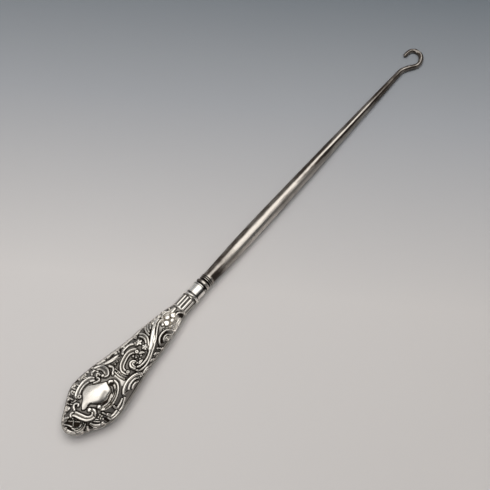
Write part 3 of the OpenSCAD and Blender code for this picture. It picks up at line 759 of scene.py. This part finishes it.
def half_shell(name, side):
    """A stamped half of the handle: its skin, the lining inside it, and the rims and mouth between them."""
    piece, u, v = sheet_of(name, ROWS, COLUMNS)
    s = stations(u)
    angle, m = around(s, v)
    h, dark = stamped_surface(s, m, angle)
    put(piece, half_section(s, s, angle, side, 0))
    if piece.data.polygons[len(piece.data.polygons) // 2].normal.z * side < 0:
        edit(piece, bpy.ops.mesh.flip_normals)
    # the tarnish mark: tarnish in the hollows, with painted shade and dark reflections
    note(piece, "tarnish_and_shade", dark)
    press(piece, -h)
    skin = read(piece).reshape(COLUMNS + 1, ROWS + 1, 3)
    skin[:, :POLE_ROWS] = skin[:, 0].mean(0)
    put(piece, skin)

    lining, u, v = sheet_of(name + "_lining", ROWS, LINING + 2)
    s = stations(u)
    angle, _ = around(s, np.clip(v * (LINING + 2) / LINING, -1, 1))
    at = np.maximum(s, BUTT_THICK * (1 - smooth(*BUTT_THINS, s)))
    inner = half_section(at, s, angle, side, lining_push(s)).reshape(LINING + 3, ROWS + 1, 3)
    inner[:, :LINING_POLE_ROWS] = inner[:, 0].mean(0)
    inner[0], inner[-1] = skin[0], skin[-1]
    put(lining, inner)
    choose(piece, lining)
    bpy.ops.object.join()
    return close_skin(piece, SHELL_CREASE, close_mouth)


# ---------------------------------------------------------------- ring over the mouth
RING_AT, RING_BORE_R, RING_RISE, RING_HALF, RING_TILT = 65.35, 2.5, 0.75, 0.5, 0.13
RING_BACK = 0.7     # share of the section that is its round back
RING_ROWS, RING_COLUMNS, RING_CREASE = 36, 72, 50


def askew_ring():
    """A round-backed ring, soldered on a little askew over the mouth of the shells."""
    piece, u, v = sheet_of("askew_ring", RING_ROWS, RING_COLUMNS)
    turn = math.pi * v
    bend = np.clip(u / RING_BACK, 0, 1) * math.pi
    bore = np.clip((u - RING_BACK) / (1 - RING_BACK), 0, 1)
    x = np.where(u <= RING_BACK, np.cos(bend), -1 + 2 * bore) * RING_HALF
    r = np.where(u <= RING_BACK, RING_BORE_R + RING_RISE * np.sin(bend), RING_BORE_R)
    y = r * np.cos(turn)
    put(piece, lie_down(RING_AT + x - RING_TILT * y, y, r * np.sin(turn)))
    return close_skin(piece, RING_CREASE)


# ---------------------------------------------------------------- resin core
AROUND, ROLLED_CREASE = 48, 38
STEEL_AT, TANG_AT, SPIGOT_AT = 70.7, 24.7, 59.9
TANG_R, TANG_TIP_R, SPIGOT_BORE_R = 1.5, 0.7, 1.9
RESIN_AT, RESIN_BODY_AT, RESIN_ROOM = 1.7, 2.0, 0.05
RESIN_ROWS, TANG_ROWS = 60, 30


def rolled(name, x, y, lean, across, up):
    """A grid rolled into a closed skin: a centre, a heading and two half sizes for each ring along it."""
    last = len(x) - 1
    piece, u, v = sheet_of(name, last, AROUND)
    k = np.rint(u * last).astype(int)
    a, b = across[k] * np.cos(math.pi * v), up[k] * np.sin(math.pi * v)
    put(piece, lie_down(x[k] - np.sin(lean[k]) * a, y[k] + np.cos(lean[k]) * a, b))
    return close_skin(piece, ROLLED_CREASE)


def resin_filling():
    """The filling inside the shells, with the hole that the tang fills."""
    body = np.concatenate([[RESIN_AT], np.linspace(RESIN_BODY_AT, SPIGOT_AT, RESIN_ROWS)])
    tang = np.linspace(STEEL_AT, TANG_AT, TANG_ROWS)
    hole = TANG_R + (TANG_TIP_R - TANG_R) * (STEEL_AT - tang) / (STEEL_AT - TANG_AT)
    s = np.concatenate([[RESIN_AT], body, [SPIGOT_AT, STEEL_AT], tang, [TANG_AT]])
    w, d = (np.concatenate([[0], half(body) - lining_push(body) - RESIN_ROOM, [SPIGOT_BORE_R] * 2, hole, [0]])
            for half in (half_w, half_d))
    straight = np.zeros(len(s))
    return rolled("resin_filling", s, straight, straight, w, d)


# ---------------------------------------------------------------- steel hook
GROOVE_R = 1.95
# stations and radii of the seat, the bead and the fine rings
SEAT = ((STEEL_AT, 2.08), (71.1, 2.1), (71.11, GROOVE_R))
BEAD_AT, BEAD_R, BEAD_BULGE, BEAD_TURN, BEAD_STEPS = 72.05, 2.05, 0.7, 68, 13
FINE_RINGS, FINE_RING_AT, FINE_RING_PITCH = 3, 73.31, 0.68
FINE_RING = ((0, GROOVE_R), (0, 2.4), (0.06, 2.53), (0.15, 2.56), (0.24, 2.53), (0.3, 2.4), (0.3, GROOVE_R))
# stations and diameters of the shank, the middle line of the bent wire, and its diameters by share of its length
SHANK = [[74.97, 4.74], [80, 4.92], [84.7, 5.12], [90.5, 5.42], [98, 5.5], [106, 5.45], [114, 5.24], [122, 5.0],
         [130, 4.74], [138, 4.48], [146.6, 4.16], [155, 3.7], [163, 3.34], [172, 2.98], [178.6, 2.62], [185, 2.34],
         [189.6, 2.14]]
WIRE = [[189.6, 0.0], [190.95, -0.15], [192.2, -0.6], [193.02, -1.02], [193.84, -1.47], [194.64, -2.0],
        [195.43, -2.56], [196.23, -3.06], [197.08, -3.37], [197.96, -3.45], [198.88, -3.32], [199.82, -2.98],
        [200.82, -2.38], [201.48, -1.7], [201.9, -0.93], [202.05, -0.11], [202.02, 0.71], [201.75, 1.55],
        [201.19, 2.25], [200.37, 2.72], [199.51, 2.95], [198.63, 3.04], [197.75, 3.07]]
WIRE_THICK = [[0, 2.14], [0.12, 2.16], [0.28, 2.08], [0.45, 1.9], [0.6, 1.92], [0.8, 1.74], [0.93, 1.6], [1, 1.5]]
TIP_TURNS = (25, 50, 70, 82, 90)
STEEL_STEPS = 6     # steps of a curve between two of these places
# where the steel turns slim, where shade is painted on its near side, where it is dark at its ends, and where its
# grooves are
SLIM, SLIMMER, STEEL_NEAR_SHADE, WIDER_STEEL_NEAR_SHADE = (116, 146), (138, 155), (92, 120), (98, 114)
UNDER_BASE, BASE, END, BOWL = (75, 75.3, 77, 88), (75, 75.6, 82, 98), (158, 186), (186, 192)
GROOVES_END, GROOVES_R = 75.1, 2.32


def steel_rings():
    """Places, half thicknesses and headings of the rings of the steel, from the tang to the tip."""
    straight = [(TANG_AT, 0), (TANG_AT, TANG_TIP_R), (STEEL_AT, TANG_R), *SEAT]
    for turn in np.radians(np.linspace(-BEAD_TURN, BEAD_TURN, BEAD_STEPS)):
        straight.append((BEAD_AT + BEAD_BULGE * math.sin(turn), BEAD_R + BEAD_BULGE * math.cos(turn)))
    for i in range(FINE_RINGS):
        straight += [(FINE_RING_AT + FINE_RING_PITCH * i + step, radius) for step, radius in FINE_RING]
    straight.append((SHANK[0][0], GROOVE_R))
    straight += [(at, thick / 2) for at, thick in curve(SHANK, STEEL_STEPS)]
    s, r = np.array(straight).T

    wire = curve(WIRE, STEEL_STEPS)[1:]
    run = np.concatenate([[0], np.cumsum(np.linalg.norm(np.diff(wire, axis=0), axis=1))])
    thick = np.interp(run / run[-1], *np.array(WIRE_THICK).T) / 2
    steps = np.gradient(wire, axis=0)
    lean = np.unwrap(np.arctan2(steps[:, 1], steps[:, 0]))
    tip = np.radians(TIP_TURNS)
    tip_r = thick[-1] * np.cos(tip)
    tip_r[-1] = 0
    x = np.concatenate([s, wire[:, 0], wire[-1, 0] + thick[-1] * np.sin(tip) * math.cos(lean[-1])])
    y = np.concatenate([0 * s, wire[:, 1], wire[-1, 1] + thick[-1] * np.sin(tip) * math.sin(lean[-1])])
    return x, y, np.concatenate([r, thick, tip_r]), np.concatenate([0 * s, lean, 0 * tip + lean[-1]])


def forged_steel(name, first, last):
    """The rings from the first to the last one, closed at both ends."""
    x, y, r, lean = (each[first:last] for each in steel_rings())
    ends = int(r[0] > 0), int(r[-1] > 0)
    r = np.pad(r, ends)
    piece = rolled(name, *(np.pad(each, ends, mode="edge") for each in (x, y, lean)), r, r)
    place, out = read(piece), read(piece, "normal")
    run = (place[:, 0] / MM + MIDDLE) / math.cos(LIE) + NOSE
    turn = np.degrees(np.arctan2(-out[:, 1], np.abs(out[:, 2])))
    above = place[:, 2] / MM - WIRE_R + (run - NOSE) * math.sin(LIE)
    # the age mark: rust, and painted light set by which way the surface faces
    note(piece, "rust_and_painted_light", rust_and_painted_light_along(run, turn, np.hypot(place[:, 1] / MM, above)))
    return piece


def rust_and_painted_light_along(run, turn, thick):
    """Brown rust in blotches by the base and towards the hook; brown painted shade down the far side and in a band on
    the near side, a black streak beside the top as painted dark reflection and a lighter near edge as painted floor
    reflection, which leave a painted highlight band bright along the top; black in the grooves and under the base.

    run is the station in mm, turn the way the surface faces, in degrees towards the near side, thick the radius."""
    slim, slimmer = smooth(*SLIM, run), 4 * smooth(*SLIMMER, run)
    # brown painted shade down the far side; its edge sets where the highlight falls
    far = (1 + 0.4 * slim) * smooth(-2 - 2 * slim + slimmer, -18 + slimmer, turn)
    # painted shade in a band on the near side, and along the slim part a black streak beside the bright top as painted
    # dark reflection, with a lighter near edge as painted floor reflection
    early = 6 * smooth(*WIDER_STEEL_NEAR_SHADE, run)
    band = np.maximum(0.55 * smooth(*STEEL_NEAR_SHADE, run) * smooth(10 - early, 30 - early, turn),
                      0.25 * smooth(26, 50, turn))
    streak = 1.5 * slim * smooth(3 + slimmer, 15 + slimmer, turn)
    near = np.maximum(band, streak) * (1 - 0.6 * slim * smooth(28, 46, turn))
    # the base beside the fine rings, and the rusty end beside the hook, lighter at its near edge as painted floor
    # reflection
    under = 1.3 * stretch(*UNDER_BASE, run) * smooth(6, 22, turn)
    base = 0.42 * stretch(*BASE, run)
    end = smooth(*END, run) * (1 - 0.45 * smooth(*BOWL, run)) * (1 - 0.5 * smooth(22, 44, turn))
    rust_and_painted_light = np.maximum(np.clip(np.maximum(far, near) + base + end, 0, 1.05), near)
    grooves = (run < GROOVES_END) & (thick < GROOVES_R)
    return np.maximum(np.where(grooves, 1.5, rust_and_painted_light), under)


# ---------------------------------------------------------------- finishes
class Value:
    """A socket that takes part in sums."""

    def __init__(self, finish, socket):
        self.finish, self.socket = finish, socket

    def sum(self, operation, a, b):
        return self.finish.node("ShaderNodeMath", {"operation": operation}, {0: a, 1: b})

    def __add__(self, other):
        return self.sum("ADD", self, other)

    def __sub__(self, other):
        return self.sum("SUBTRACT", self, other)

    def __rsub__(self, other):
        return self.sum("SUBTRACT", other, self)

    def __mul__(self, other):
        return self.sum("MULTIPLY", self, other)

    __radd__, __rmul__ = __add__, __mul__


class Finish:
    """A material and its nodes."""

    def __init__(self, name):
        self.material = bpy.data.materials.new(name)
        self.material.use_nodes = True
        self.tree = self.material.node_tree
        self.shader = self.tree.nodes["Principled BSDF"]

    def node(self, kind, settings=None, sockets=None, out=0):
        made = self.tree.nodes.new(kind)
        for key, value in (settings or {}).items():
            setattr(made, key, value)
        for key, value in (sockets or {}).items():
            self.join(made.inputs[key], value)
        return Value(self, made.outputs[out])

    def join(self, socket, value):
        if isinstance(value, Value):
            self.tree.links.new(value.socket, socket)
        else:
            socket.default_value = value

    def set(self, **sockets):
        for key, value in sockets.items():
            self.join(self.shader.inputs[key.replace("_", " ")], value)
        return self.material

    def noted(self, name):
        """A value that was noted for each corner of the piece."""
        return self.node("ShaderNodeAttribute", {"attribute_name": name}, out="Fac")

    def place(self, turn=(0, 0, 0), scale=(1, 1, 1)):
        spot = self.node("ShaderNodeTexCoord", out="Object")
        return self.node("ShaderNodeMapping", {}, {"Vector": spot, "Rotation": turn, "Scale": scale})

    def part(self, place, axis):
        return self.node("ShaderNodeSeparateXYZ", {}, {0: place}, "XYZ".index(axis))

    def along(self):
        """The distance from the butt, in mm."""
        spot = self.node("ShaderNodeTexCoord", out="Object")
        start = MIDDLE * math.cos(LIE) + WIRE_R * math.sin(LIE) + NOSE
        return self.part(spot, "X") * (math.cos(LIE) / MM) - self.part(spot, "Z") * (math.sin(LIE) / MM) + start

    def noise(self, where, scale, detail=3.0, roughness=0.55):
        return self.node("ShaderNodeTexNoise", {}, {"Vector": where, "Scale": scale, "Detail": detail,
                                                    "Roughness": roughness})

    def between(self, value, low, high):
        """Value spread from 0 at low to 1 at high, and held there."""
        return self.node("ShaderNodeMapRange", {"clamp": True}, {"Value": value, "From Min": low, "From Max": high})

    def stretch(self, value, a, b, c, d):
        """1 where value runs from b to c, and falling to 0 at a and at d."""
        return self.between(value, a, b) * self.between(value, d, c)

    def mix(self, share, a, b):
        """Colour a where share is 0 and colour b where it is 1, by the sockets of a Mix node for colours."""
        return self.node("ShaderNodeMix", {"data_type": "RGBA"}, {0: share, 6: a, 7: b}, out=2)

    def bump(self, height, strength, distance):
        return self.node("ShaderNodeBump", {}, {"Height": height, "Strength": strength, "Distance": distance})


WARM_SILVER, BLACK_TARNISH_AND_SHADE = (0.93, 0.89, 0.825, 1), (0.028, 0.021, 0.016, 1)
POLISHED_SILVER, CLOUDED_SILVER, SHADE_AND_GROOVE_BLACK = (0.95, 0.93, 0.89, 1), (0.72, 0.68, 0.62, 1), (0.03, 0.024, 0.02, 1)
BRIGHT_STEEL, BROWN_RUST_AND_SHADE, BLACK_PITS_AND_SHADE = (0.60, 0.56, 0.51, 1), (0.056, 0.042, 0.033, 1), (0.014, 0.011, 0.009, 1)
SOLDER_LIGHT, SOLDER_DARK = (0.34, 0.32, 0.29, 1), (0.10, 0.088, 0.078, 1)
RESIN_LIGHT, RESIN_DARK = (0.10, 0.05, 0.025, 1), (0.03, 0.016, 0.01, 1)
# darkened stretches of the collar, in mm from the butt: painted shadow in the step beside the ring, and the groove and
# face by its rim; and a band of painted shade down its near side, in metres
FOOT_STEP_SHADOW, RIM_GROOVE, RIM_FACE = (65.75, 65.9, 66.45, 66.6), (70.0, 70.12, 70.2, 70.3), (70.2, 70.3)
COLLAR_NEAR_SHADE = (-0.0024, -0.00225, -0.0018, -0.0016)


def stamped_silver():
    f = Finish("stamped_silver")
    where = f.place()
    # tarnish in the hollows, with painted shade and dark reflections, mixed towards black
    dark = f.noted("tarnish_and_shade")
    cloud = f.noise(where, scale=700, detail=4)
    grain = f.noise(where, scale=4200, detail=2)
    shade = f.between(dark + (cloud - 0.5) * 0.2, 0.04, 0.98)
    return f.set(Base_Color=f.mix(shade, WARM_SILVER, BLACK_TARNISH_AND_SHADE), Metallic=1.0,
                 Roughness=0.17 + shade * 0.35 + grain * 0.06,
                 Normal=f.bump(grain, strength=0.08, distance=0.0001))


def plain_silver(name="plain_silver", with_shade_and_grooves=True):
    f = Finish(name)
    fine = f.noise(f.place(scale=(1, 14, 14)), scale=900)
    cloud = f.noise(f.place(), scale=500)
    tone = f.mix(f.between(cloud, 0.35, 0.8), POLISHED_SILVER, CLOUDED_SILVER)
    if with_shade_and_grooves:
        run = f.along()
        # painted shadow in the step beside the ring and painted shade down the near side; the groove and face by the
        # rim are darkened too
        grooves = f.stretch(run, *FOOT_STEP_SHADOW) + f.stretch(run, *RIM_GROOVE)
        under = f.stretch(f.part(f.place(), "Y"), *COLLAR_NEAR_SHADE)
        shade_and_dark_grooves = f.between(grooves * 0.9 + f.between(run, *RIM_FACE) * 0.45 + under * 0.8, 0, 1)
        tone = f.mix(shade_and_dark_grooves, tone, SHADE_AND_GROOVE_BLACK)
    return f.set(Base_Color=tone, Metallic=1.0, Roughness=0.12 + fine * 0.16,
                 Normal=f.bump(fine, strength=0.05, distance=0.0001))


def worn_steel():
    f = Finish("worn_steel")
    streak = f.noise(f.place(turn=(0, LIE, 0), scale=(0.05, 1, 1)), scale=2600, detail=4)
    patch = f.noise(f.place(turn=(0, LIE, 0), scale=(0.35, 1, 1)), scale=330, detail=4, roughness=0.65)
    speck = f.noise(f.place(), scale=1700)
    rust_and_painted_light = f.noted("rust_and_painted_light")
    blotch = (patch - 0.5) * 1.1 + (streak - 0.5) * 0.45 + (speck - 0.5) * 0.4
    # brown for rust and for painted shade; black where the mark passes 1.1: the grooves, under the base and the
    # painted dark streak beside the top
    rust_and_shade = f.between(rust_and_painted_light * 0.8 + blotch, 0.1, 0.9)
    black_pits_and_shade = f.between(rust_and_painted_light + (patch - 0.5) * 0.8, 1.1, 1.5)
    tone = f.mix(black_pits_and_shade, f.mix(rust_and_shade, BRIGHT_STEEL, BROWN_RUST_AND_SHADE), BLACK_PITS_AND_SHADE)
    return f.set(Base_Color=tone, Metallic=1.0 - rust_and_shade * 0.4, Roughness=0.2 + rust_and_shade * 0.26 + streak * 0.1,
                 Specular_IOR_Level=0.3, Normal=f.bump(streak, strength=0.06, distance=0.0002))


def grey_solder():
    f = Finish("grey_solder")
    cloud = f.noise(f.place(), scale=900, detail=4)
    tone = f.mix(f.between(cloud, 0.3, 0.75), SOLDER_LIGHT, SOLDER_DARK)
    return f.set(Base_Color=tone, Metallic=1.0, Roughness=0.28 + cloud * 0.2)


def brown_resin():
    f = Finish("brown_resin")
    cloud = f.noise(f.place(), scale=300, detail=5)
    tone = f.mix(f.between(cloud, 0.3, 0.7), RESIN_LIGHT, RESIN_DARK)
    return f.set(Base_Color=tone, Roughness=0.35 + cloud * 0.3,
                 Normal=f.bump(cloud, strength=0.2, distance=0.0003))


FINISHES = {"stamped_silver": stamped_silver(), "plain_silver": plain_silver(),
            "ring_silver": plain_silver("ring_silver", False), "steel": worn_steel(),
            "solder": grey_solder(), "resin": brown_resin()}


# ---------------------------------------------------------------- pieces
def finish_piece(piece, node, slot, finish=None):
    piece.data.materials.clear()
    piece.data.materials.append(FINISHES[finish or slot])
    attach(piece, "root")
    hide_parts(node)


finish_piece(half_shell("stamped_front", 1), "front_shell", "stamped_silver")
finish_piece(half_shell("stamped_back", -1), "back_shell", "stamped_silver")

taper_end = int(np.argmax(steel_rings()[0] >= WIRE[0][0]))
finish_piece(forged_steel("forged_shank", 0, taper_end + 1), "steel_shank", "steel")
finish_piece(forged_steel("bent_hook", taper_end, None), "steel_hook", "steel")
finish_piece(resin_filling(), "resin_core", "resin")
finish_piece(askew_ring(), "mouth_ring", "plain_silver", "ring_silver")

for node, slot in (("seam_solder", "solder"), ("collar", "plain_silver")):
    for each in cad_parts[node].material_slots:
        each.material = FINISHES[slot]

# ---------------------------------------------------------------- floor, light and camera
PAPER_FRONT, PAPER_NEAR = (0.69, 0.666, 0.65, 1), (0.775, 0.75, 0.735, 1)
PAPER_MIDDLE, PAPER_FAR = (0.4225, 0.44, 0.469, 1), (0.1155, 0.1475, 0.1757, 1)
AWAY_TURN = math.atan2(0.552, 0.835)
NEAR_END, MIDDLE_END, FAR_END = -0.022, 0.054, 0.13     # in metres, away from the camera
FRONT_Y, FLOOR_SIZE = (-0.1, 0.05), 4


def pale_floor():
    """A pale floor whose colour darkens evenly away from the camera, and is a little darker along the front."""
    f = Finish("pale_floor")
    away = f.part(f.place(turn=(0, 0, -AWAY_TURN)), "X")
    cloud = f.noise(f.place(), scale=14)
    away = away + cloud * 0.002
    near = f.mix(f.between(f.part(f.place(), "Y"), *FRONT_Y), PAPER_FRONT, PAPER_NEAR)
    middle = f.mix(f.between(away, NEAR_END, MIDDLE_END), near, PAPER_MIDDLE)
    tone = f.mix(f.between(away, MIDDLE_END, FAR_END), middle, PAPER_FAR)
    return f.set(Base_Color=tone, Roughness=0.7 + cloud * 0.1)


bpy.ops.object.select_all(action="DESELECT")
bpy.ops.mesh.primitive_plane_add(size=FLOOR_SIZE)
floor = bpy.context.object
floor.name = "floor"
floor.data.materials.append(pale_floor())


def facing(place, aim):
    return (Vector(aim) - Vector(place)).to_track_quat("-Z", "Y").to_euler()


def soft_light(name, place, aim, size, power, colour, for_floor=False):
    """A box that the metal mirrors, or a lamp that only lights the floor."""
    bpy.ops.object.light_add(type="AREA", location=place)
    light = bpy.context.object
    light.name = name
    light.rotation_euler = facing(place, aim)
    light.data.shape = "RECTANGLE"
    light.data.size, light.data.size_y = size
    light.data.energy = power
    light.data.color = colour
    light.visible_diffuse, light.visible_glossy = for_floor, not for_floor


soft_light("canopy", place=(-0.1, 0.40, 0.75), aim=(-0.1, 0.40, 0), size=(2.4, 1.5), power=5.3,
           colour=(1.0, 0.985, 0.96))
soft_light("left_box", place=(-0.50, 0.03, 0.60), aim=(-0.50, 0.03, 0), size=(1.08, 0.76), power=1.65,
           colour=(1.0, 0.98, 0.95))
soft_light("right_box", place=(0.46, -0.09, 0.60), aim=(0.46, -0.09, 0), size=(0.84, 0.90), power=2.4,
           colour=(1.0, 0.98, 0.95))
soft_light("behind", place=(0.0, 1.35, 0.35), aim=(0.0, 0, 0), size=(2.0, 0.5), power=1.3,
           colour=(0.95, 0.975, 1.0))
soft_light("overhead", place=(-0.08, -0.03, 1.0), aim=(-0.02, 0.0, 0), size=(0.75, 0.75), power=7.4,
           colour=(1.0, 0.98, 0.96), for_floor=True)

world = bpy.data.worlds.new("room")
world.use_nodes = True
room = world.node_tree.nodes["Background"].inputs
room["Color"].default_value = (0.20, 0.20, 0.205, 1)
room["Strength"].default_value = 0.6
bpy.context.scene.world = world
bpy.context.scene.view_settings.view_transform = "Standard"

CAMERA_AT = (-0.156373, -0.125173, 0.438502)
CAMERA_AIM = (-0.0062528, -0.0003527, 0.0)
SENSOR_WIDTH, LENS = 36, 95.85
bpy.ops.object.camera_add(location=CAMERA_AT)
camera = bpy.context.object
camera.rotation_euler = facing(CAMERA_AT, CAMERA_AIM)
camera.data.sensor_fit = "HORIZONTAL"
camera.data.sensor_width = SENSOR_WIDTH
camera.data.lens = LENS
bpy.context.scene.camera = camera
